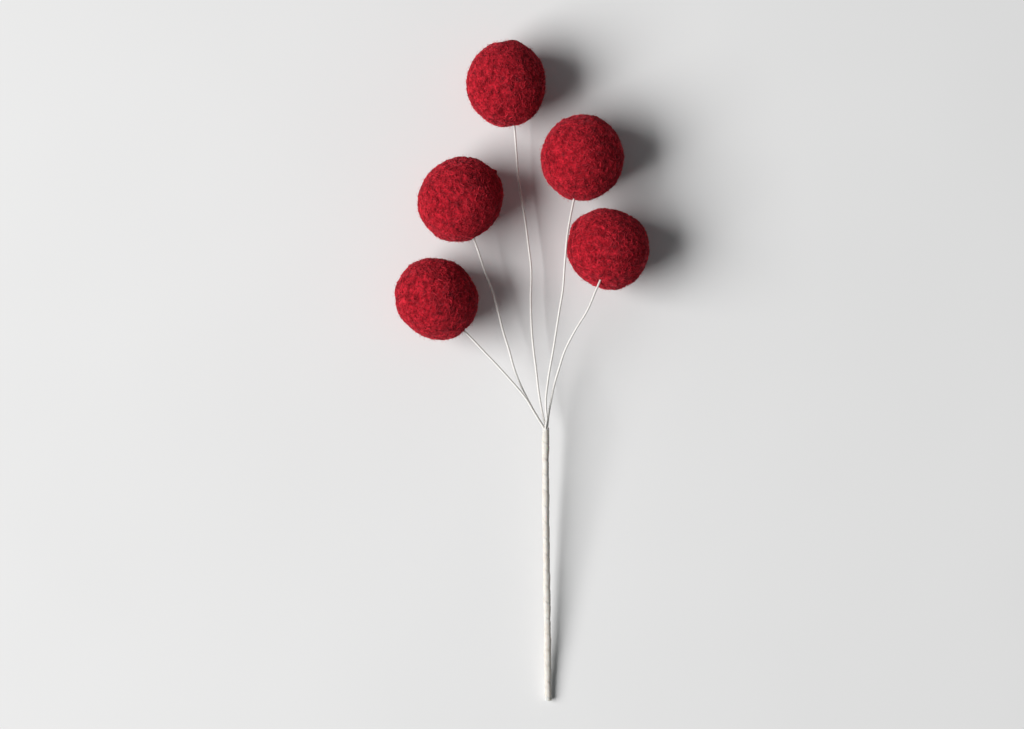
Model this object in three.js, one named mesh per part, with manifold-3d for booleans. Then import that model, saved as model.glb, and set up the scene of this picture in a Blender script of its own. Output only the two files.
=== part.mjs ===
// Felt-ball spray: five felted wool balls on bendable paper-covered wires, bound into one taped stem.
// Millimetres, +Z up. The spray lies on a table, with +Y running from the cut end of the stem to the balls.
// Each wire is one continuous strand. It is cut into three runs at the two places where it bends:
// the stem run, the lower run from the root bend to the knee bend, and the upper run that holds the ball.

import * as THREE from 'three';
import { mergeVertices } from 'three/addons/utils/BufferGeometryUtils.js';
import Module from 'manifold-3d';

// Wires
const CORE_RADIUS = 0.3;
const COVER_RADIUS = 0.52;
const FIT_GAP = 0.06;
const BEND_CLEARANCE = 0.6;
const WIRE_SIDES = 8;
const ROUND_END_STACKS = 6;
const STEM_STEPS = 12;
const LOWER_STEPS = 6;
const UPPER_STEP_LENGTH = 8;
const DIVISIONS_PER_SPAN = 40;

// Stem: a ring of five strands around a stiffening wire, under a spiral of floral tape
const STRAND_RING_RADIUS = 0.94;
const STIFFENER_RADIUS = 0.35;
const STIFFENER_SETBACK = 2;
const TAPE_SETBACK = 0.6;
const TAPE_INNER_RADIUS = 1.56;
const TAPE_RADIUS = 1.82;
const TAPE_SIDES = 16;
const STEM_LINE = [
  [12.8, -159.7, 1.82],
  [12.4, -125, 5.4],
  [12, -90, 9.02],
  [11.6, -58, 12.35],
  [11.45, -36, 14.69],
  [11.41, -30, 15.3],
  [11.4, -28, 15.5],
];

// Balls and the glue that holds each wire tip
const BALL_SLICES = 20;
const BALL_STACKS = 12;
const CHANNEL_RADIUS = 0.8;
const POCKET_RADIUS = 1.65;
const POCKET_BEHIND = 4.4;
const POCKET_AHEAD = 0.9;
const GLUE_RADIUS = 1.5;
const GLUE_BORE_RADIUS = 0.66;
const GLUE_LENGTH = 4;
const GLUE_CAP_START = 0.12;
const GLUE_CAP_END = 0.7;
const GLUE_SIDES = 12;

// One entry per branch: where its strand sits in the stem, the route of its wire, and its ball.
// The first route point is the root bend, knee says which point is the knee bend, and the last is the wire tip.
const BRANCHES = [
  {
    strandDegrees: 306,
    knee: 4,
    route: [
      [11.94, -26.8, 14.86], [10.5, -22.2, 14.6], [9.6, -18, 14.3], [8, -8.4, 13.6], [6.9, 1.2, 12.9],
      [5.7, 10.8, 12.2], [4.8, 20.5, 11.5], [4.3, 35, 10.6], [4.5, 50, 9.9], [3.4, 60, 9.6],
      [1.3, 75.9, 9.4], [-1.5, 93, 10], [-2.7, 107.2, 11.4], [-3.6, 118.8, 13.2], [-5, 132.7, 15.8],
    ],
    ball: { centre: [-7.6, 139.3], short: 38.1, long: 41.2, longDegrees: 85 },
  },
  {
    strandDegrees: 90,
    knee: 5,
    route: [
      [11.39, -26.8, 16.56], [12, -22, 17.6], [11.6, -17, 18.4], [11.6, -12, 19], [12.3, -5.5, 20],
      [13.3, 1.2, 21], [15, 10.8, 22.6], [16.5, 20.5, 24.1], [18, 30.1, 25.6], [19.6, 39.8, 27],
      [20.3, 49.4, 28], [20.95, 57.5, 28.2], [21.75, 66, 27], [23.2, 74.5, 24.2], [24.9, 83, 21],
      [27.3, 96, 18.6],
    ],
    ball: { centre: [28.9, 103.6], short: 39.9, long: 41.4, longDegrees: 72 },
  },
  {
    strandDegrees: 234,
    knee: 5,
    route: [
      [10.84, -26.8, 14.86], [8.5, -22.9, 14.5], [5.6, -18.1, 14.5], [3, -13.3, 14.6], [0.3, -8, 14.8],
      [-3.5, 1.2, 14.7], [-6.2, 10.8, 14.4], [-9.2, 20.5, 14.1], [-11.6, 30.1, 14], [-14.5, 39.8, 14.2],
      [-18, 49.4, 14.9], [-21.2, 59, 16], [-23.4, 65.1, 16.8], [-27.6, 77.5, 18.5],
    ],
    ball: { centre: [-29.5, 83.5], short: 39.2, long: 42.4, longDegrees: 44 },
  },
  {
    strandDegrees: 18,
    knee: 5,
    route: [
      [12.28, -26.8, 15.91], [12.6, -22.9, 16.1], [13.2, -18.1, 16.4], [14.1, -13.3, 17], [15.4, -6.5, 18.3],
      [17.6, 1.2, 20.1], [20.7, 10.8, 22.9], [25.6, 20.5, 25.9], [31.4, 30.1, 27.9], [35.4, 39.5, 28.6],
      [37.1, 43.4, 28.3], [41, 54, 26],
    ],
    ball: { centre: [41.55, 59.8], short: 38.1, long: 39.6, longDegrees: -45 },
  },
  {
    strandDegrees: 162,
    knee: 6,
    route: [
      [10.5, -26.8, 15.91], [8.2, -22.9, 16.3], [5.3, -18.1, 16.4], [2.5, -13.3, 16.5], [-1.3, -8.4, 16.7],
      [-5.5, -3.6, 17], [-9.8, 1.2, 17.3], [-14.3, 6, 17.7], [-18.9, 10.8, 18.1], [-23.5, 15.7, 18.5],
      [-27.5, 19.8, 18.8], [-36.5, 28.8, 19.5],
    ],
    ball: { centre: [-41.1, 35.8], short: 38.1, long: 41.1, longDegrees: 139 },
  },
];

const MATERIALS = {
  felt: { color: 0xa8192a, roughness: 0.95, metalness: 0 },
  paper: { color: 0xf1efea, roughness: 0.7, metalness: 0 },
  steel: { color: 0xa9a9a6, roughness: 0.4, metalness: 1 },
  glue: { color: 0xe9e2cf, roughness: 0.35, metalness: 0 },
};

const MERGE_TOLERANCE = 1e-4;

const wasm = await Module();
wasm.setup();

// A stretch of another curve, from one length along it to another.
class Stretch extends THREE.Curve {
  constructor(whole, from, to) {
    super();
    this.whole = whole;
    this.from = from / whole.getLength();
    this.to = to / whole.getLength();
  }

  getPoint(t, target = new THREE.Vector3()) {
    return this.whole.getPointAt(this.from + (this.to - this.from) * t, target);
  }
}

function vectors(points) {
  return points.map((point) => new THREE.Vector3(...point));
}

function disc(radius, boreRadius = 0) {
  const shape = new THREE.Shape().absarc(0, 0, radius, 0, 2 * Math.PI, false);
  if (boreRadius > 0) {
    shape.holes.push(new THREE.Path().absarc(0, 0, boreRadius, 0, 2 * Math.PI, false));
  }
  return shape;
}

function sweep(path, steps, sides, radius, boreRadius = 0) {
  // three.js gives a full circle twice as many sides as curveSegments.
  return new THREE.ExtrudeGeometry(disc(radius, boreRadius), {
    steps,
    curveSegments: sides / 2,
    bevelEnabled: false,
    extrudePath: path,
  });
}

function toSolid(geometry) {
  const bare = geometry.clone();
  bare.deleteAttribute('normal');
  bare.deleteAttribute('uv');
  const merged = mergeVertices(bare, MERGE_TOLERANCE);
  return new wasm.Manifold(new wasm.Mesh({
    numProp: 3,
    vertProperties: Float32Array.from(merged.attributes.position.array),
    triVerts: Uint32Array.from(merged.index.array),
  }));
}

function toGeometry(solid) {
  const mesh = solid.getMesh();
  const geometry = new THREE.BufferGeometry();
  geometry.setAttribute('position', new THREE.BufferAttribute(mesh.vertProperties, 3));
  geometry.setIndex(new THREE.BufferAttribute(mesh.triVerts, 1));
  geometry.computeVertexNormals();
  return geometry;
}

function piece(name, geometry, finish) {
  const mesh = new THREE.Mesh(geometry, new THREE.MeshStandardMaterial(finish));
  mesh.name = name;
  return mesh;
}

// The whole strand of a branch: beside the stem's centre line first, then along its own route.
function strandCurve(branch) {
  const angle = THREE.MathUtils.degToRad(branch.strandDegrees);
  const offset = new THREE.Vector3(Math.cos(angle), 0, Math.sin(angle)).multiplyScalar(STRAND_RING_RADIUS);
  const inStem = vectors(STEM_LINE).map((point) => point.add(offset));
  const curve = new THREE.CatmullRomCurve3([...inStem, ...vectors(branch.route)]);
  curve.arcLengthDivisions = (curve.points.length - 1) * DIVISIONS_PER_SPAN;
  return curve;
}

// How far along the strand a route point lies.
function lengthAt(curve, routeIndex) {
  return curve.getLengths()[(STEM_LINE.length + routeIndex) * DIVISIONS_PER_SPAN];
}

// A covered run that ends in a bend: the cover closes over the wire in a round end on the bend's centre.
function runToBend(label, curve, start, bend, steps, group) {
  const coreRun = new Stretch(curve, start, bend - BEND_CLEARANCE);
  const coverRun = new Stretch(curve, start, bend);
  const roundEnd = new THREE.SphereGeometry(COVER_RADIUS, WIRE_SIDES, ROUND_END_STACKS);
  roundEnd.translate(...curve.getPointAt(bend / curve.getLength()).toArray());
  const tube = sweep(coverRun, steps, WIRE_SIDES, COVER_RADIUS, CORE_RADIUS + FIT_GAP);
  const cover = toGeometry(toSolid(tube).add(toSolid(roundEnd)));
  const core = sweep(coreRun, steps, WIRE_SIDES, CORE_RADIUS);
  group.add(piece(`wire_core_${label}`, core, MATERIALS.steel));
  group.add(piece(`wire_cover_${label}`, cover, MATERIALS.paper));
}

// The upper run, from the knee bend to the wire tip inside the ball.
function upperRun(number, curve, start, end, group) {
  const run = new Stretch(curve, start, end);
  const steps = Math.round((end - start) / UPPER_STEP_LENGTH);
  const core = sweep(run, steps, WIRE_SIDES, CORE_RADIUS);
  const cover = sweep(run, steps, WIRE_SIDES, COVER_RADIUS, CORE_RADIUS + FIT_GAP);
  group.add(piece(`wire_core_${number}_upper`, core, MATERIALS.steel));
  group.add(piece(`wire_cover_${number}_upper`, cover, MATERIALS.paper));
}

// A frame at the wire tip whose Y axis points along the wire.
function tipFrame(curve) {
  const along = curve.getTangentAt(1);
  const turn = new THREE.Quaternion().setFromUnitVectors(new THREE.Vector3(0, 1, 0), along);
  return new THREE.Matrix4().compose(curve.getPointAt(1), turn, new THREE.Vector3(1, 1, 1));
}

// A felt ball with a narrow channel for the covered wire and a wider pocket for the glue round its tip.
function feltBall(number, ball, curve, kneeLength) {
  const height = (ball.short + ball.long) / 4;
  const geometry = new THREE.SphereGeometry(1, BALL_SLICES, BALL_STACKS);
  geometry.rotateX(Math.PI / 2);
  geometry.scale(ball.long / 2, ball.short / 2, height);

  const mesh = piece(`felt_ball_${number}`, geometry, MATERIALS.felt);
  mesh.position.set(...ball.centre, height);
  mesh.rotation.z = THREE.MathUtils.degToRad(ball.longDegrees);
  mesh.updateMatrix();
  const intoBall = mesh.matrix.clone().invert();

  const length = curve.getLength();
  const steps = Math.round((length - kneeLength) / UPPER_STEP_LENGTH);
  const channel = sweep(new Stretch(curve, kneeLength, length), steps, WIRE_SIDES, CHANNEL_RADIUS);
  const pocket = new THREE.CylinderGeometry(
    POCKET_RADIUS, POCKET_RADIUS, POCKET_BEHIND + POCKET_AHEAD, GLUE_SIDES,
  );
  pocket.translate(0, (POCKET_AHEAD - POCKET_BEHIND) / 2, 0);
  pocket.applyMatrix4(tipFrame(curve));
  channel.applyMatrix4(intoBall);
  pocket.applyMatrix4(intoBall);
  const hollow = toSolid(channel).add(toSolid(pocket));
  mesh.geometry = toGeometry(toSolid(geometry).subtract(hollow));
  return mesh;
}

// A cup of glue over the wire tip, open towards the channel.
function glueDab(number, curve) {
  const profile = [
    [0, GLUE_CAP_START],
    [GLUE_BORE_RADIUS, GLUE_CAP_START],
    [GLUE_BORE_RADIUS, -GLUE_LENGTH],
    [GLUE_RADIUS, -GLUE_LENGTH],
    [GLUE_RADIUS, GLUE_CAP_START],
    [GLUE_BORE_RADIUS, GLUE_CAP_END],
    [0, GLUE_CAP_END],
  ].map(([radius, along]) => new THREE.Vector2(radius, along));
  const mesh = piece(`glue_dab_${number}`, new THREE.LatheGeometry(profile, GLUE_SIDES), MATERIALS.glue);
  tipFrame(curve).decompose(mesh.position, mesh.quaternion, mesh.scale);
  return mesh;
}

function branchPieces(branch, number) {
  const group = new THREE.Group();
  const curve = strandCurve(branch);
  const root = lengthAt(curve, 0);
  const knee = lengthAt(curve, branch.knee);
  const tip = curve.getLength();
  runToBend(`${number}_stem`, curve, 0, root, STEM_STEPS, group);
  runToBend(`${number}_lower`, curve, root + BEND_CLEARANCE, knee, LOWER_STEPS, group);
  upperRun(number, curve, knee + BEND_CLEARANCE, tip, group);
  group.add(feltBall(number, branch.ball, curve, knee));
  group.add(glueDab(number, curve));
  return group;
}

function stemPieces() {
  const group = new THREE.Group();
  const line = new THREE.CatmullRomCurve3(vectors(STEM_LINE));
  const length = line.getLength();
  const stiffenerRun = new Stretch(line, 0, length - STIFFENER_SETBACK);
  const stiffener = sweep(stiffenerRun, STEM_STEPS, WIRE_SIDES, STIFFENER_RADIUS);
  const tapeRun = new Stretch(line, 0, length - TAPE_SETBACK);
  const tape = sweep(tapeRun, STEM_STEPS, TAPE_SIDES, TAPE_RADIUS, TAPE_INNER_RADIUS);
  group.add(piece('stem_stiffener_wire', stiffener, MATERIALS.steel));
  group.add(piece('stem_tape', tape, MATERIALS.paper));
  return group;
}

const spray = new THREE.Group();
spray.add(stemPieces());
BRANCHES.forEach((branch, index) => spray.add(branchPieces(branch, index + 1)));

export default spray;
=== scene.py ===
"""Felt-ball spray: five felted wool balls on paper-covered wires, bound with floral tape into one stem."""

import math

import bmesh
import bpy
import numpy as np
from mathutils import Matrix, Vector, noise


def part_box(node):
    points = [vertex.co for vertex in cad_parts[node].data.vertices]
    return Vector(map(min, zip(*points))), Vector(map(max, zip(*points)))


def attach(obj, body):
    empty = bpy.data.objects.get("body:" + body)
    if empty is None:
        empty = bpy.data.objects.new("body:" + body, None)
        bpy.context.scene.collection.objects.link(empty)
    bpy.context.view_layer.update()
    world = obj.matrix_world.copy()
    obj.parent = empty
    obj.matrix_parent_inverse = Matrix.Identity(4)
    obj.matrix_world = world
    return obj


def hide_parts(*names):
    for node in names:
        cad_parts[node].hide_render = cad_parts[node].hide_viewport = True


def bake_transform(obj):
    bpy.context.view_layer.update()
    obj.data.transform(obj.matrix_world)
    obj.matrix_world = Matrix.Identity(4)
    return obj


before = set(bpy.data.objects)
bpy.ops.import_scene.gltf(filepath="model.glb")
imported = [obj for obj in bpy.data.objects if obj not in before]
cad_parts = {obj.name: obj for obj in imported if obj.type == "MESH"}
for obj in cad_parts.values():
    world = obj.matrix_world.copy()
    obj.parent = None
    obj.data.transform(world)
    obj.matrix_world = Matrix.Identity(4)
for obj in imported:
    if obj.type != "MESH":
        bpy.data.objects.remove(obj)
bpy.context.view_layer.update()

MM = 0.001
SEED = 20

# Stem centre line and wire routes, in millimetres, as the frame's solids have them.
STEM_LINE = [
    (12.8, -159.7, 1.82),
    (12.4, -125, 5.4),
    (12, -90, 9.02),
    (11.6, -58, 12.35),
    (11.45, -36, 14.69),
    (11.41, -30, 15.3),
    (11.4, -28, 15.5),
]
STRAND_RING_RADIUS = 0.94
TAPE_END_SETBACK = 0.6
WIRE_RADIUS = 0.52
CORE_RADIUS = 0.3

# Each branch: its strand's place in the stem, its wire's route from the root bend to the tip, the knee
# bend's place on that route, its ball's size, and the bumps (+) and dents (-) that hand felting left.
# A feature is a direction from the ball's centre, a width in degrees and a height in millimetres.
BRANCHES = [
    {
        "strand_degrees": 306,
        "knee": 4,
        "route": [
            (11.94, -26.8, 14.86), (10.5, -22.2, 14.6), (9.6, -18, 14.3), (8, -8.4, 13.6), (6.9, 1.2, 12.9),
            (5.7, 10.8, 12.2), (4.8, 20.5, 11.5), (4.3, 35, 10.6), (4.5, 50, 9.9), (3.4, 60, 9.6),
            (1.3, 75.9, 9.4), (-1.5, 93, 10), (-2.7, 107.2, 11.4), (-3.6, 118.8, 13.2), (-5, 132.7, 15.8),
        ],
        "ball": {"short": 38.1, "long": 41.2, "long_degrees": 85},
        "features": [
            ((0.17, 0.98, 0.05), 9, 0.6), ((-0.1, 0.99, 0.1), 8, -0.6), ((-0.04, 0.77, 0.63), 7, -0.9),
            ((-0.05, -0.72, 0.68), 7, -1.2), ((0.62, -0.78, 0.1), 16, 0.4), ((-0.72, -0.68, 0.1), 18, -0.3),
        ],
    },
    {
        "strand_degrees": 90,
        "knee": 5,
        "route": [
            (11.39, -26.8, 16.56), (12, -22, 17.6), (11.6, -17, 18.4), (11.6, -12, 19), (12.3, -5.5, 20),
            (13.3, 1.2, 21), (15, 10.8, 22.6), (16.5, 20.5, 24.1), (18, 30.1, 25.6), (19.6, 39.8, 27),
            (20.3, 49.4, 28), (20.95, 57.5, 28.2), (21.75, 66, 27), (23.2, 74.5, 24.2), (24.9, 83, 21),
            (27.3, 96, 18.6),
        ],
        "ball": {"short": 39.9, "long": 41.4, "long_degrees": 72},
        "features": [
            ((0.3, 0.95, 0.05), 5, 0.4), ((-0.95, -0.1, 0.1), 26, -0.6), ((-0.15, -0.75, 0.64), 9, -0.7),
        ],
    },
    {
        "strand_degrees": 234,
        "knee": 5,
        "route": [
            (10.84, -26.8, 14.86), (8.5, -22.9, 14.5), (5.6, -18.1, 14.5), (3, -13.3, 14.6), (0.3, -8, 14.8),
            (-3.5, 1.2, 14.7), (-6.2, 10.8, 14.4), (-9.2, 20.5, 14.1), (-11.6, 30.1, 14),
            (-14.5, 39.8, 14.2), (-18, 49.4, 14.9), (-21.2, 59, 16), (-23.4, 65.1, 16.8), (-27.6, 77.5, 18.5),
        ],
        "ball": {"short": 39.2, "long": 42.4, "long_degrees": 44},
        "features": [
            ((0.77, 0.63, 0.12), 4, 1.3), ((0.66, 0.74, 0.12), 7, -0.5), ((0.6, -0.79, 0.1), 18, -0.6),
            ((-0.2, 0.97, 0.1), 14, 0.2), ((-0.8, -0.6, 0.1), 18, -0.2),
        ],
    },
    {
        "strand_degrees": 18,
        "knee": 5,
        "route": [
            (12.28, -26.8, 15.91), (12.6, -22.9, 16.1), (13.2, -18.1, 16.4), (14.1, -13.3, 17),
            (15.4, -6.5, 18.3), (17.6, 1.2, 20.1), (20.7, 10.8, 22.9), (25.6, 20.5, 25.9), (31.4, 30.1, 27.9),
            (35.4, 39.5, 28.6), (37.1, 43.4, 28.3), (41, 54, 26),
        ],
        "ball": {"short": 38.1, "long": 39.6, "long_degrees": -45},
        "features": [
            ((0.65, -0.75, 0.1), 12, 0.5), ((0.88, 0.45, 0.1), 20, 0.7), ((-0.8, 0.58, -0.2), 16, 0.8),
            ((-0.75, -0.64, 0.1), 16, -0.3), ((-0.99, -0.05, -0.1), 13, 1.0),
        ],
    },
    {
        "strand_degrees": 162,
        "knee": 6,
        "route": [
            (10.5, -26.8, 15.91), (8.2, -22.9, 16.3), (5.3, -18.1, 16.4), (2.5, -13.3, 16.5),
            (-1.3, -8.4, 16.7), (-5.5, -3.6, 17), (-9.8, 1.2, 17.3), (-14.3, 6, 17.7), (-18.9, 10.8, 18.1),
            (-23.5, 15.7, 18.5), (-27.5, 19.8, 18.8), (-36.5, 28.8, 19.5),
        ],
        "ball": {"short": 38.1, "long": 41.1, "long_degrees": 139},
        "features": [
            ((-0.97, 0.2, 0.1), 9, 0.5), ((-0.72, 0.68, 0.1), 15, -0.4), ((0.82, 0.55, 0.1), 16, -0.3),
            ((0.78, -0.62, 0.1), 12, -0.5), ((-0.7, -0.7, 0.1), 16, -0.3),
        ],
    },
]


# ---------------------------------------------------------------- curves and meshes

def catmull_rom(points, per_span=60):
    """Points along the centripetal Catmull-Rom curve through the given points, in metres."""
    given = np.array(points, float) * MM
    padded = np.vstack([2 * given[0] - given[1], given, 2 * given[-1] - given[-2]])
    along = np.linspace(0, 1, per_span, endpoint=False)[:, None]
    spans = []
    for p0, p1, p2, p3 in zip(padded, padded[1:], padded[2:], padded[3:]):
        d0, d1, d2 = (math.sqrt(np.linalg.norm(b - a)) for a, b in ((p0, p1), (p1, p2), (p2, p3)))
        slope1 = ((p1 - p0) / d0 - (p2 - p0) / (d0 + d1) + (p2 - p1) / d1) * d1
        slope2 = ((p2 - p1) / d1 - (p3 - p1) / (d1 + d2) + (p3 - p2) / d2) * d1
        square = -3 * p1 + 3 * p2 - 2 * slope1 - slope2
        cube = 2 * p1 - 2 * p2 + slope1 + slope2
        spans.append(p1 + slope1 * along + square * along**2 + cube * along**3)
    return np.vstack(spans + [given[-1:]])


def lengths_along(line):
    return np.r_[0, np.cumsum(np.linalg.norm(np.diff(line, axis=0), axis=1))]


def resampled(line, start, end, step):
    """The stretch of a line from one length along it to another, in even steps."""
    lengths = lengths_along(line)
    count = max(2, int(round((end - start) / step)) + 1)
    wanted = np.linspace(start, end, count)
    return np.stack([np.interp(wanted, lengths, line[:, k]) for k in range(3)], axis=1), wanted


def frames_along(line):
    """Unit tangents, and two unit normals that don't twist, at each point of a line."""
    tangents = np.gradient(line, axis=0)
    tangents /= np.linalg.norm(tangents, axis=1)[:, None]
    side = np.cross(tangents[0], (0, 0, 1))
    sides = []
    for tangent in tangents:
        side = side - (side @ tangent) * tangent
        side /= np.linalg.norm(side)
        sides.append(side)
    sides = np.array(sides)
    return tangents, sides, np.cross(sides, tangents)


def mesh_object(name, vertices, faces, smooth=True):
    mesh = bpy.data.meshes.new(name)
    mesh.from_pydata(vertices.tolist(), [], faces)
    mesh.update()
    mesh.polygons.foreach_set("use_smooth", [smooth] * len(mesh.polygons))
    obj = bpy.data.objects.new(name, mesh)
    bpy.context.collection.objects.link(obj)
    return obj


def tube(name, line, radii, bore=0.0, bore_depth=0.0, slide=None):
    """A closed tube round a line. radii has a row for each point and a column for each side, and so has
    slide, how far each vertex moves along the line. With a bore, the first end has a blind hole."""
    tangents, sides, ups = frames_along(line)
    count = radii.shape[1]
    angles = np.arange(count) * 2 * math.pi / count
    around = np.cos(angles)[None, :, None] * sides[:, None] + np.sin(angles)[None, :, None] * ups[:, None]
    rings = [line[k] + around[k] * radii[k][:, None] for k in range(len(line))]
    if slide is not None:
        rings = [ring + tangents[k] * slide[k][:, None] for k, ring in enumerate(rings)]
    if bore:
        rings.insert(0, line[0] + around[0] * bore)
        rings.insert(0, line[0] + tangents[0] * bore_depth + around[0] * bore)
    total = len(rings)
    vertices = np.vstack(rings)
    faces = []
    for ring in range(total - 1):
        a, b = ring * count, (ring + 1) * count
        for k in range(count):
            n = (k + 1) % count
            faces.append((a + k, a + n, b + n, b + k))
    faces.append(tuple(reversed(range(count))))
    faces.append(tuple(range((total - 1) * count, total * count)))
    return mesh_object(name, vertices, faces)


def spiral_step(lengths, count, pitch, wander):
    """How far across the winding each point of a tube is: 0 just past an edge, 1 at the next edge."""
    turn = np.arange(count) / count
    phase = lengths[:, None] / pitch - turn[None, :] + wander
    return phase - np.floor(phase)


# ---------------------------------------------------------------- materials

def new_material(name, roughness, metallic=0.0):
    material = bpy.data.materials.new(name)
    material.use_nodes = True
    shader = material.node_tree.nodes["Principled BSDF"]
    shader.inputs["Roughness"].default_value = roughness
    shader.inputs["Metallic"].default_value = metallic
    return material, material.node_tree, shader


def node(tree, kind, **settings):
    made = tree.nodes.new(kind)
    for key, value in settings.items():
        setattr(made, key, value)
    return made


def object_noise(tree, scale, detail=3.0, stretch=(1, 1, 1)):
    """A noise in the object's own coordinates; scale is in cycles per metre."""
    place = node(tree, "ShaderNodeTexCoord")
    mapping = node(tree, "ShaderNodeMapping")
    mapping.inputs["Scale"].default_value = stretch
    texture = node(tree, "ShaderNodeTexNoise")
    texture.inputs["Scale"].default_value = scale
    texture.inputs["Detail"].default_value = detail
    tree.links.new(place.outputs["Object"], mapping.inputs["Vector"])
    tree.links.new(mapping.outputs["Vector"], texture.inputs["Vector"])
    return texture.outputs["Fac"]


def ramp(tree, factor, stops):
    made = node(tree, "ShaderNodeValToRGB")
    while len(made.color_ramp.elements) < len(stops):
        made.color_ramp.elements.new(0.5)
    for element, (position, colour) in zip(made.color_ramp.elements, stops):
        element.position = position
        element.color = (*colour, 1)
    tree.links.new(factor, made.inputs["Fac"])
    return made.outputs["Color"]


def bump(tree, shader, height, strength, distance):
    made = node(tree, "ShaderNodeBump")
    made.inputs["Strength"].default_value = strength
    made.inputs["Distance"].default_value = distance
    tree.links.new(height, made.inputs["Height"])
    tree.links.new(made.outputs["Normal"], shader.inputs["Normal"])


def mixed(tree, blend_type, factor, a, b):
    made = node(tree, "ShaderNodeMix", data_type="RGBA", blend_type=blend_type)
    made.inputs["Factor"].default_value = factor
    tree.links.new(a, made.inputs["A"])
    tree.links.new(b, made.inputs["B"])
    return made.outputs["Result"]


def wool_sheen(shader):
    shader.inputs["Sheen Weight"].default_value = 0.45
    shader.inputs["Sheen Roughness"].default_value = 0.45
    shader.inputs["Sheen Tint"].default_value = (1.0, 0.2, 0.26, 1)
    shader.inputs["Specular IOR Level"].default_value = 0.1


def felt_material():
    """Matted wool: patches of darker and lighter red under a fine tangle of dark flecks, which are painted
    shade in the pits between fibres. The body's reds stay darker than the fibres lying on it, as painted
    shade in the gaps between them.
    """
    material, tree, shader = new_material("wool felt", 0.95)
    # Random patches of the wool's own tone. This ramp's top stays below the fibres' brightest red: painted
    # shade in the gaps between the fibres.
    patches = ramp(tree, object_noise(tree, 340, 5), [
        (0.3, (0.16, 0.003, 0.007)), (0.5, (0.38, 0.008, 0.018)), (0.7, (0.60, 0.0175, 0.035)),
    ])
    # Painted shade: this fine tangle darkens the felt in small flecks that stand in for shade in the pits
    # between fibres.
    tangle_pit_shade = ramp(tree, object_noise(tree, 1000, 4), [(0.34, (0.35, 0.35, 0.35)), (0.54, (1, 1, 1))])
    tree.links.new(mixed(tree, "MULTIPLY", 0.85, patches, tangle_pit_shade), shader.inputs["Base Color"])
    bump(tree, shader, object_noise(tree, 2600, 4), 0.6, 0.0003)
    wool_sheen(shader)
    return material


def fibre_material():
    """Single wool fibres, each a little lighter or darker than the next."""
    material, tree, shader = new_material("wool fibres", 0.85)
    shade = node(tree, "ShaderNodeAttribute", attribute_name="fibre_shade")
    # The top of this ramp is brighter than the felt body's reds, so that the body showing between fibres
    # reads as painted shade.
    colour = ramp(tree, shade.outputs["Fac"], [
        (0.0, (0.07, 0.001, 0.003)), (0.4, (0.38, 0.008, 0.018)), (0.8, (0.82, 0.032, 0.056)),
        (1.0, (0.88, 0.06, 0.085)),
    ])
    patches = ramp(tree, object_noise(tree, 340, 5), [(0.34, (0.62, 0.62, 0.62)), (0.6, (1, 1, 1))])
    tree.links.new(mixed(tree, "MULTIPLY", 0.85, colour, patches), shader.inputs["Base Color"])
    wool_sheen(shader)
    return material


def paper_material():
    """White crepe paper wound round the wires."""
    material, tree, shader = new_material("paper cover", 0.7)
    colour = ramp(tree, object_noise(tree, 900, 3), [(0.3, (0.72, 0.70, 0.665)), (0.7, (0.80, 0.785, 0.755))])
    tree.links.new(colour, shader.inputs["Base Color"])
    bump(tree, shader, object_noise(tree, 5000, 3, (1, 0.25, 1)), 0.35, 0.0001)
    shader.inputs["Specular IOR Level"].default_value = 0.3
    return material


def tape_material():
    """Waxed crepe floral tape, slightly creamy, with a fine grain along the stem."""
    material, tree, shader = new_material("floral tape", 0.55)
    colour = ramp(tree, object_noise(tree, 350, 4), [
        (0.25, (0.59, 0.55, 0.50)), (0.55, (0.66, 0.635, 0.59)), (0.8, (0.70, 0.685, 0.65)),
    ])
    tree.links.new(colour, shader.inputs["Base Color"])
    bump(tree, shader, object_noise(tree, 3800, 4, (1, 0.15, 1)), 0.4, 0.00015)
    shader.inputs["Specular IOR Level"].default_value = 0.35
    shader.inputs["Subsurface Weight"].default_value = 0.4
    shader.inputs["Subsurface Radius"].default_value = (1.0, 0.75, 0.55)
    shader.inputs["Subsurface Scale"].default_value = 0.0018
    return material


def steel_material():
    material, tree, shader = new_material("steel wire", 0.4, metallic=1.0)
    colour = ramp(tree, object_noise(tree, 1500, 3), [(0.3, (0.42, 0.42, 0.41)), (0.7, (0.62, 0.62, 0.60))])
    tree.links.new(colour, shader.inputs["Base Color"])
    bump(tree, shader, object_noise(tree, 6000, 2), 0.2, 0.00005)
    return material


def glue_material():
    material, tree, shader = new_material("hot glue", 0.35)
    colour = ramp(tree, object_noise(tree, 600, 2), [(0.3, (0.78, 0.73, 0.6)), (0.7, (0.88, 0.85, 0.76))])
    tree.links.new(colour, shader.inputs["Base Color"])
    bump(tree, shader, object_noise(tree, 900, 2), 0.3, 0.0002)
    return material


FELT = felt_material()
FIBRE = fibre_material()
PAPER = paper_material()
TAPE = tape_material()
STEEL = steel_material()
GLUE = glue_material()


# ---------------------------------------------------------------- felt balls

# Each layer of lumps is a noise frequency and a height in millimetres. NOISE_SHIFT sets the balls apart.
LUMPS = [(1.5, 0.6), (3.4, 0.3), (6.0, 0.16), (12.0, 0.2), (24.0, 0.26)]
NOISE_SHIFT = (7.3, 3.1, -5.7)
SURFACE_TRIM = 0.15
DIMPLE_DEGREES = 7
DIMPLE_DEPTH = 1.1
FLOOR_CLEARANCE = 0.2


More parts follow.
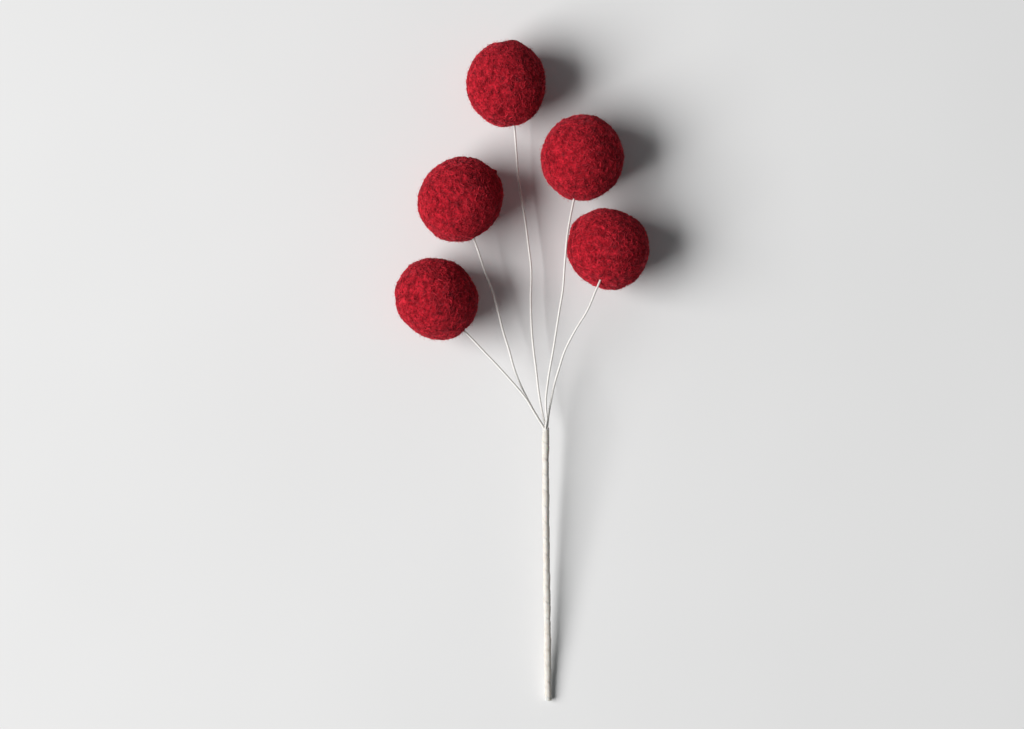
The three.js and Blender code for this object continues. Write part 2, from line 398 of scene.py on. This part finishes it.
class FeltBall:
    """The shape of one felt ball: an ellipsoid with lumps, dents and a dimple where the wire goes in."""

    def __init__(self, number, branch):
        low, high = (np.array(corner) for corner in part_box(f"felt_ball_{number}"))
        self.centre = (low + high) / 2
        size = branch["ball"]
        turn = math.radians(size["long_degrees"])
        self.axes = np.array([
            (math.cos(turn), math.sin(turn), 0), (-math.sin(turn), math.cos(turn), 0), (0, 0, 1),
        ])
        self.semi = np.array([size["long"], size["short"], (size["long"] + size["short"]) / 2]) / 2 * MM
        self.shift = Vector([step * number for step in NOISE_SHIFT])
        self.features = [(np.array(way) / np.linalg.norm(way), math.radians(width), height * MM)
                         for way, width, height in branch["features"]]
        self.features.append((self.entry(branch), math.radians(DIMPLE_DEGREES), -DIMPLE_DEPTH * MM))

    def entry(self, branch):
        """The direction from the centre to where the wire meets the surface."""
        line = catmull_rom(branch["route"]) - self.centre
        depth = np.linalg.norm(line @ self.axes.T / self.semi, axis=1)
        first_inside = line[np.argmax(depth < 1)]
        return first_inside / np.linalg.norm(first_inside)

    def reach(self, ways):
        """How far the surface is from the centre, in each direction."""
        radius = 1 / np.linalg.norm(ways @ self.axes.T / self.semi, axis=1)
        lumps = np.empty(len(ways))
        for k, way in enumerate(ways):
            place = Vector(way)
            lumps[k] = sum(noise.noise(place * scale + self.shift) * height for scale, height in LUMPS)
        radius += (lumps - SURFACE_TRIM) * MM
        for way, width, height in self.features:
            angle = np.arccos(np.clip(ways @ way, -1, 1))
            radius += height * np.exp(-((angle / width) ** 2))
        return radius

    def points(self, ways, height=0.0):
        """Points at a height over the surface, kept above the table."""
        placed = self.centre + ways * (self.reach(ways) + height)[:, None]
        placed[:, 2] = np.maximum(placed[:, 2], FLOOR_CLEARANCE * MM)
        return placed


BODY_SUBDIVISIONS = 6
MAT_HEIGHT = 0.09
MAT_WAVE = 0.11
MAT_SPREAD = (-0.05, 0.12)
MAT_WAVES = (3, 9)
STRAY_LIFT = (0.4, 1.8)
STRAY_CURVE = 1.6
BURIED_END = -0.12
BURIED_ROOT = -0.1
WOBBLE = 0.15
TIP_TAPER = 0.35


def ball_body(number, ball):
    shell = bmesh.new()
    bmesh.ops.create_icosphere(shell, subdivisions=BODY_SUBDIVISIONS, radius=1)
    ways = np.array([vertex.co for vertex in shell.verts])
    ways /= np.linalg.norm(ways, axis=1)[:, None]
    faces = [tuple(vertex.index for vertex in face.verts) for face in shell.faces]
    shell.free()
    return mesh_object(f"felt_ball_{number}_body", ball.points(ways), faces)


def random_ways(rng, count):
    ways = rng.normal(size=(count, 3))
    return ways / np.linalg.norm(ways, axis=1)[:, None]


def fibre_paths(rng, ball, count, length, curl, rise, points=7):
    """Curly paths over the ball. length is in millimetres, curl in radians over the whole fibre, and rise
    gives each fibre's height over the surface, in metres, at each of its points."""
    way = random_ways(rng, count)
    heading = np.cross(way, random_ways(rng, count))
    heading /= np.linalg.norm(heading, axis=1)[:, None]
    step = rng.uniform(*length, count) * MM / ball.semi.mean() / (points - 1)
    bend = rng.normal(0, curl, count) / (points - 1)
    heights = rise(rng, count, points)
    line = []
    for k in range(points):
        line.append(ball.points(way, heights[:, k]))
        ahead = way * np.cos(step)[:, None] + heading * np.sin(step)[:, None]
        heading = heading - (heading * ahead).sum(1)[:, None] * ahead
        side = np.cross(ahead, heading)
        turn = (bend + rng.normal(0, WOBBLE, count))[:, None]
        heading = heading * np.cos(turn) + side * np.sin(turn)
        heading /= np.linalg.norm(heading, axis=1)[:, None]
        way = ahead
    return np.stack(line, axis=1)


def matted(rng, count, points):
    """Fibres that lie in the mat, dipping in and out of it, with both ends buried."""
    wave = np.sin(np.linspace(0, 1, points)[None, :] * rng.uniform(*MAT_WAVES, count)[:, None]
                  + rng.uniform(0, 6, count)[:, None])
    heights = MAT_HEIGHT + MAT_WAVE * wave + rng.uniform(*MAT_SPREAD, count)[:, None]
    heights[:, [0, -1]] = BURIED_END
    return heights * MM


def stray(rng, count, points):
    """Loose hairs that lift off the surface towards the tip."""
    lift = rng.uniform(*STRAY_LIFT, count)[:, None] * np.linspace(0, 1, points)[None, :] ** STRAY_CURVE
    lift[:, 0] = BURIED_ROOT
    return lift * MM


def fibre_mesh(name, groups, centre):
    """One mesh of three-sided fibres. Each group is its paths, its fibres' radius and their shades."""
    all_vertices, all_faces, all_shades = [], [], []
    start = 0
    for paths, radius, shades in groups:
        count, points, _ = paths.shape
        tangents = np.gradient(paths, axis=1)
        tangents /= np.maximum(np.linalg.norm(tangents, axis=2), 1e-9)[..., None]
        outward = paths - centre
        side = np.cross(tangents, outward)
        side /= np.maximum(np.linalg.norm(side, axis=2), 1e-9)[..., None]
        up = np.cross(side, tangents)
        taper = np.ones(points)
        taper[[0, -1]] = TIP_TAPER
        rings = []
        for angle in (90, 210, 330):
            a = math.radians(angle)
            offset = (side * math.cos(a) + up * math.sin(a)) * radius
            rings.append(paths + offset * taper[None, :, None])
        all_vertices.append(np.stack(rings, axis=2).reshape(-1, 3))
        first = start + (np.arange(count)[:, None] * points + np.arange(points)[None, :]) * 3
        for k in range(3):
            n = (k + 1) % 3
            a, b = first[:, :-1].ravel(), first[:, 1:].ravel()
            all_faces.extend(np.stack([a + k, b + k, b + n, a + n], axis=1).tolist())
        all_faces.extend((first[:, :1] + np.array([[0, 1, 2]])).tolist())
        all_faces.extend((first[:, -1:] + np.array([[2, 1, 0]])).tolist())
        all_shades.append(np.repeat(shades, points * 3))
        start += count * points * 3
    obj = mesh_object(name, np.vstack(all_vertices), all_faces)
    attribute = obj.data.attributes.new("fibre_shade", "FLOAT", "POINT")
    attribute.data.foreach_set("value", np.concatenate(all_shades).astype(np.float32))
    return obj


# Clumps, locks, threads and loose hairs: count, length in millimetres, curl, rise, radius in millimetres
# and range of shade.
FIBRE_KINDS = [
    (1300, (1.5, 4), 2.8, matted, 0.17, (0.4, 0.8)),
    (1200, (1.5, 4.5), 2.2, matted, 0.12, (0.1, 0.5)),
    (1600, (2, 5), 2.6, matted, 0.055, (0.3, 0.95)),
    (1000, (1.5, 4), 1.8, stray, 0.035, (0.5, 1)),
]


def ball_fibres(number, ball):
    rng = np.random.default_rng(SEED + number)
    paths = [fibre_paths(rng, ball, *kind[:4]) for kind in FIBRE_KINDS]
    groups = [(path, radius * MM, rng.uniform(*shade, len(path)))
              for path, (*_, radius, shade) in zip(paths, FIBRE_KINDS)]
    return fibre_mesh(f"felt_ball_{number}_fibres", groups, ball.centre)


def make_ball(number, branch):
    ball = FeltBall(number, branch)
    upper = f"branch_{number}_upper"
    body = ball_body(number, ball)
    body.data.materials.append(FELT)
    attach(body, upper)
    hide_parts(f"felt_ball_{number}")
    fibres = ball_fibres(number, ball)
    fibres.data.materials.append(FIBRE)
    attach(fibres, upper)


# ---------------------------------------------------------------- wires

WIRE_SIDES = 14
WIRE_STEP = 0.3
COVER_PITCH = 2.4
COVER_STEP = 0.035
BULGE_HEIGHT = 0.03
BULGE_FREQUENCY = 0.35
CORE_CLEARANCE = 0.03
WIRE_BORE_DEPTH = 1.0
JOIN_OVERLAP = 0.5


def strand_line(branch):
    angle = math.radians(branch["strand_degrees"])
    across, up = STRAND_RING_RADIUS * math.cos(angle), STRAND_RING_RADIUS * math.sin(angle)
    in_stem = [(x + across, y, z + up) for x, y, z in STEM_LINE]
    return catmull_rom(in_stem + branch["route"])


def length_at(line, point):
    """How far along a line its point nearest to a route point is."""
    nearest = np.argmin(np.linalg.norm(line - np.array(point) * MM, axis=1))
    return lengths_along(line)[nearest]


def wound_wire(name, line, start, end, seed, bore=0.0):
    """A stretch of paper-covered wire, with the edge of the winding and a few soft bulges."""
    path, lengths = resampled(line, start, end, WIRE_STEP * MM)
    across = spiral_step(lengths / MM, WIRE_SIDES, COVER_PITCH, 0.0)
    bulges = np.array([noise.noise(Vector((length / MM * BULGE_FREQUENCY, seed, 0))) for length in lengths])
    radii = WIRE_RADIUS - COVER_STEP + COVER_STEP * across + BULGE_HEIGHT * bulges[:, None]
    return tube(name, path, radii * MM, bore * MM, WIRE_BORE_DEPTH * MM)


def make_wires(number, branch):
    """The wire in two pieces that meet halfway between its root bend and its knee bend: one holds the root
    bend, the other the knee bend.
    """
    line = strand_line(branch)
    root = length_at(line, branch["route"][0])
    knee = length_at(line, branch["route"][branch["knee"]])
    meeting = (root + knee) / 2
    root_piece = wound_wire(
        f"wire_{number}_root", line, 0, meeting + JOIN_OVERLAP * MM, number, CORE_RADIUS + CORE_CLEARANCE,
    )
    reach_piece = wound_wire(f"wire_{number}_reach", line, meeting, lengths_along(line)[-1], number)
    for piece in (root_piece, reach_piece):
        piece.data.materials.append(PAPER)
    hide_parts(f"wire_cover_{number}_stem", f"wire_cover_{number}_lower")
    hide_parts(f"wire_core_{number}_lower")
    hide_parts(f"wire_cover_{number}_upper", f"wire_core_{number}_upper")
    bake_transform(root_piece)
    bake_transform(reach_piece)


# ---------------------------------------------------------------- stem

TAPE_RADIUS = 1.57
TAPE_SIDES = 48
TAPE_RING_STEP = 0.25
TAPE_PITCH = 7.8
TAPE_STEP = 0.2
TAPE_EDGE = 0.94
TAPE_WANDER = (0.05, 1.5, 0.5)
# Uneven thickness, wrinkles and grain: height in millimetres, frequency round the stem and along it.
TAPE_RELIEF = [(0.26, 0.5, 0.1), (0.05, 5, 0.8), (0.02, 16, 1.6)]
RIB_HEIGHT = 0.03
RIB_TWIST = 0.05
TAPE_THINNEST = 0.03
TAPE_BITE = 0.02
TAPE_BORE_DEPTH = 1.5
TAIL_LENGTH = 2.2
TAIL_DEGREES = 25


def tape_noise(angle, length, layer):
    height, around, along = layer
    place = Vector((math.cos(angle) * around, math.sin(angle) * around, length * along))
    return height * noise.noise(place)


def make_stem_tape():
    """Floral tape wound up the stem: a raised, slightly ragged spiral edge, strands showing through as
    faint twisted ribs, soft wrinkles, uneven thickness where the tape was stretched, and a slanting end."""
    line = catmull_rom(STEM_LINE)
    end = lengths_along(line)[-1] - TAPE_END_SETBACK * MM
    path, lengths = resampled(line, 0, end, TAPE_RING_STEP * MM)
    lengths = lengths / MM
    turn = np.arange(TAPE_SIDES) * 2 * math.pi / TAPE_SIDES
    wander = np.array([[tape_noise(angle, length, TAPE_WANDER) for angle in turn] for length in lengths])
    relief = np.array([[sum(tape_noise(angle, length, layer) for layer in TAPE_RELIEF) for angle in turn]
                       for length in lengths])
    across = spiral_step(lengths, TAPE_SIDES, TAPE_PITCH, wander)
    ledge = np.where(across < TAPE_EDGE, across / TAPE_EDGE, (1 - across) / (1 - TAPE_EDGE))
    ribs = RIB_HEIGHT * np.cos(len(BRANCHES) * turn[None, :] + lengths[:, None] * RIB_TWIST)
    radii = TAPE_RADIUS + TAPE_STEP * ledge + ribs + relief
    inner = STRAND_RING_RADIUS + WIRE_RADIUS
    radii = np.maximum(radii, inner + TAPE_THINNEST)
    last_stretch = np.clip(1 - (lengths[-1] - lengths) / (2 * TAIL_LENGTH), 0, 1)[:, None]
    tail_side = np.clip(np.cos(turn - math.radians(TAIL_DEGREES)), 0, 1)[None, :]
    tail = TAIL_LENGTH * last_stretch * tail_side
    radii = radii - (TAPE_RADIUS - inner) * last_stretch * tail_side
    stem = tube(
        "stem_wrap", path, radii * MM, (inner - TAPE_BITE) * MM, TAPE_BORE_DEPTH * MM, tail * MM,
    )
    stem.data.materials.append(TAPE)
    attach(stem, "stem")
    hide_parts("stem_tape")


# ---------------------------------------------------------------- carried CAD nodes, stage, light, camera

def finish_cad_nodes():
    """The glue, the stiffening wire and the strands' cores keep their CAD shapes and get finer materials."""
    for number in range(1, len(BRANCHES) + 1):
        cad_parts[f"glue_dab_{number}"].material_slots[0].material = GLUE
        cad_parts[f"wire_core_{number}_stem"].material_slots[0].material = STEEL
    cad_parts["stem_stiffener_wire"].material_slots[0].material = STEEL


FLOOR_HALF = 3.0


def make_floor():
    material, tree, shader = new_material("pale floor", 0.9)
    shader.inputs["Specular IOR Level"].default_value = 0.1
    colour = ramp(tree, object_noise(tree, 6, 2), [(0.3, (0.79, 0.79, 0.79)), (0.7, (0.81, 0.81, 0.81))])
    tree.links.new(colour, shader.inputs["Base Color"])
    corners = np.array([(-1, -1, 0), (1, -1, 0), (1, 1, 0), (-1, 1, 0)]) * FLOOR_HALF
    floor = mesh_object("floor", corners, [(0, 1, 2, 3)], smooth=False)
    floor.data.materials.append(material)


# The light, the floor and the camera height are in metres.
KEY_DISTANCE = 5.0
KEY_ELEVATION = 40
KEY_AZIMUTH = 188
KEY_SIZE = (4.2, 3.2)
KEY_POWER = 388
SKY_STRENGTH = 0.115
SKY_COLOUR = (0.9, 0.98, 1.0, 1)
KEY_COLOUR = (1.0, 0.99, 0.985)


def make_light():
    data = bpy.data.lights.new("key", "AREA")
    data.shape = "RECTANGLE"
    data.size, data.size_y = KEY_SIZE
    data.energy = KEY_POWER
    data.color = KEY_COLOUR
    key = bpy.data.objects.new("key", data)
    elevation, azimuth = math.radians(KEY_ELEVATION), math.radians(KEY_AZIMUTH)
    way = Vector((
        math.cos(elevation) * math.cos(azimuth), math.cos(elevation) * math.sin(azimuth), math.sin(elevation),
    ))
    key.location = way * KEY_DISTANCE
    key.rotation_euler = way.to_track_quat("Z", "Y").to_euler()
    bpy.context.collection.objects.link(key)
    world = bpy.data.worlds.new("sky")
    world.use_nodes = True
    world.node_tree.nodes["Background"].inputs["Color"].default_value = SKY_COLOUR
    world.node_tree.nodes["Background"].inputs["Strength"].default_value = SKY_STRENGTH
    bpy.context.scene.world = world


CAMERA_HEIGHT = 1.6
VIEW_CENTRE = (-4.8, 4.0)
VIEW_WIDTH = 493.6
VIEW_PLANE = 20
SENSOR = 36


def make_camera():
    """Straight down from far above, framed so that VIEW_WIDTH fits across at the balls' middle height."""
    data = bpy.data.cameras.new("camera")
    data.sensor_width = SENSOR
    data.lens = SENSOR * (CAMERA_HEIGHT - VIEW_PLANE * MM) / (VIEW_WIDTH * MM)
    camera = bpy.data.objects.new("camera", data)
    camera.location = (VIEW_CENTRE[0] * MM, VIEW_CENTRE[1] * MM, CAMERA_HEIGHT)
    bpy.context.collection.objects.link(camera)
    bpy.context.scene.camera = camera


make_camera()
make_light()
make_floor()
finish_cad_nodes()
make_stem_tape()
for index, branch in enumerate(BRANCHES):
    make_wires(index + 1, branch)
    make_ball(index + 1, branch)

bpy.context.scene.view_settings.view_transform = "Standard"
